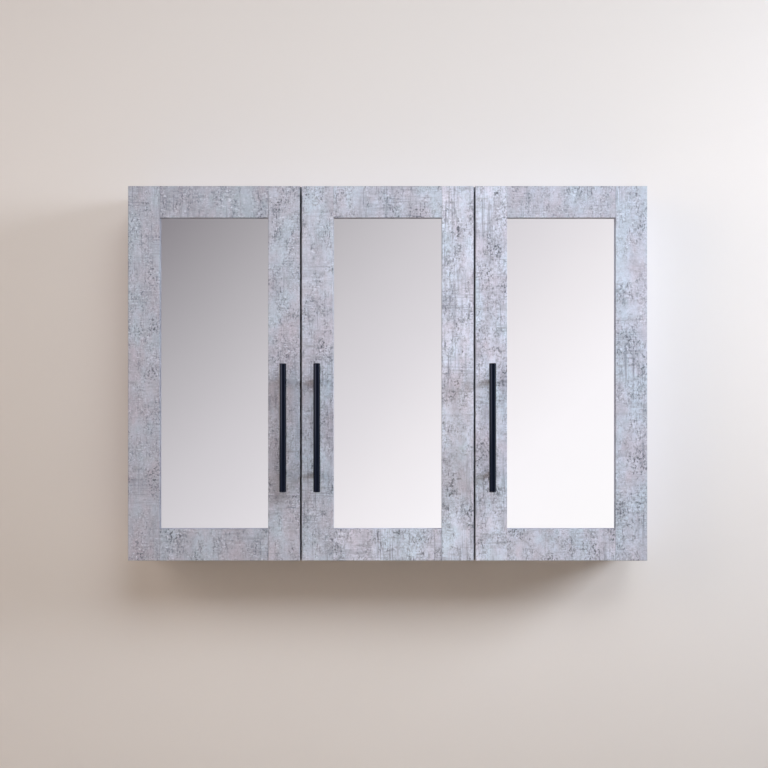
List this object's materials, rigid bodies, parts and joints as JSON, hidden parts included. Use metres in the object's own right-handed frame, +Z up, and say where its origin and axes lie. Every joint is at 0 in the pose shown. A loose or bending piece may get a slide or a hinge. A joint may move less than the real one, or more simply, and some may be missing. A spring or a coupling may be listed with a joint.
{
  "type": "mirror cabinet",
  "caption": "Wall-hung mirror cabinet with concrete-look framed mirror doors on cup hinges, black bar handles, a partition and adjustable shelves.",
  "frame": {"origin": "middle of the wall face, midway between the wall screw holes", "axes": "+X to the viewer's right along the width, +Y into the wall, +Z up; the doors face -Y"},
  "size_m": [0.9, 0.1855, 0.65],
  "materials": {
    "concrete_laminate": "matt concrete-look laminate on chipboard",
    "grey_hardboard": "painted hardboard",
    "mirror_glass": "silvered float glass",
    "black_metal": "satin black powder coat",
    "nickel_steel": "nickel plated",
    "zinc_casting": "zinc die casting",
    "beech": "plain beech",
    "clear_bumper": "clear soft bumper"
  },
  "bodies": {
    "case": {"left_side": "concrete_laminate", "right_side": "concrete_laminate", "top_panel": "concrete_laminate", "bottom_panel": "concrete_laminate", "partition": "concrete_laminate", "back_panel": "grey_hardboard", "hanging_rail": "concrete_laminate", "lower_rail": "concrete_laminate", "left_shelves": "concrete_laminate", "right_shelves": "concrete_laminate", "shelf_pins": "nickel_steel", "case_dowels": "beech", "cam_locks": "zinc_casting", "cam_bolts": "zinc_casting", "door_bumpers": "clear_bumper", "hinge_arms": "nickel_steel", "hinge_plates": "nickel_steel", "plate_screws": "nickel_steel", "arm_screws": "nickel_steel"},
    "left_door": {"left_hinge_stile": "concrete_laminate", "left_handle_stile": "concrete_laminate", "left_top_rail": "concrete_laminate", "left_bottom_rail": "concrete_laminate", "left_mirror": "mirror_glass", "left_backing": "grey_hardboard", "left_handle_bar": "black_metal", "left_handle_posts": "black_metal", "left_handle_screws": "nickel_steel", "left_hinge_cups": "nickel_steel", "left_cup_screws": "nickel_steel", "left_hinge_axles": "nickel_steel"},
    "middle_door": {"middle_hinge_stile": "concrete_laminate", "middle_handle_stile": "concrete_laminate", "middle_top_rail": "concrete_laminate", "middle_bottom_rail": "concrete_laminate", "middle_mirror": "mirror_glass", "middle_backing": "grey_hardboard", "middle_handle_bar": "black_metal", "middle_handle_posts": "black_metal", "middle_handle_screws": "nickel_steel", "middle_hinge_cups": "nickel_steel", "middle_cup_screws": "nickel_steel", "middle_hinge_axles": "nickel_steel"},
    "right_door": {"right_hinge_stile": "concrete_laminate", "right_handle_stile": "concrete_laminate", "right_top_rail": "concrete_laminate", "right_bottom_rail": "concrete_laminate", "right_mirror": "mirror_glass", "right_backing": "grey_hardboard", "right_handle_bar": "black_metal", "right_handle_posts": "black_metal", "right_handle_screws": "nickel_steel", "right_hinge_cups": "nickel_steel", "right_cup_screws": "nickel_steel", "right_hinge_axles": "nickel_steel"}
  },
  "joints": [
    {"name": "left_door_hinge", "type": "hinge", "parent": "case", "child": "left_door", "pos_m": [-0.442, -0.1435, 0], "axis": [0, 0, -1], "range_deg": [0, 95]},
    {"name": "middle_door_hinge", "type": "hinge", "parent": "case", "child": "middle_door", "pos_m": [0.14167, -0.1435, 0], "axis": [0, 0, 1], "range_deg": [0, 95]},
    {"name": "right_door_hinge", "type": "hinge", "parent": "case", "child": "right_door", "pos_m": [0.442, -0.1435, 0], "axis": [0, 0, 1], "range_deg": [0, 95]}
  ]
}
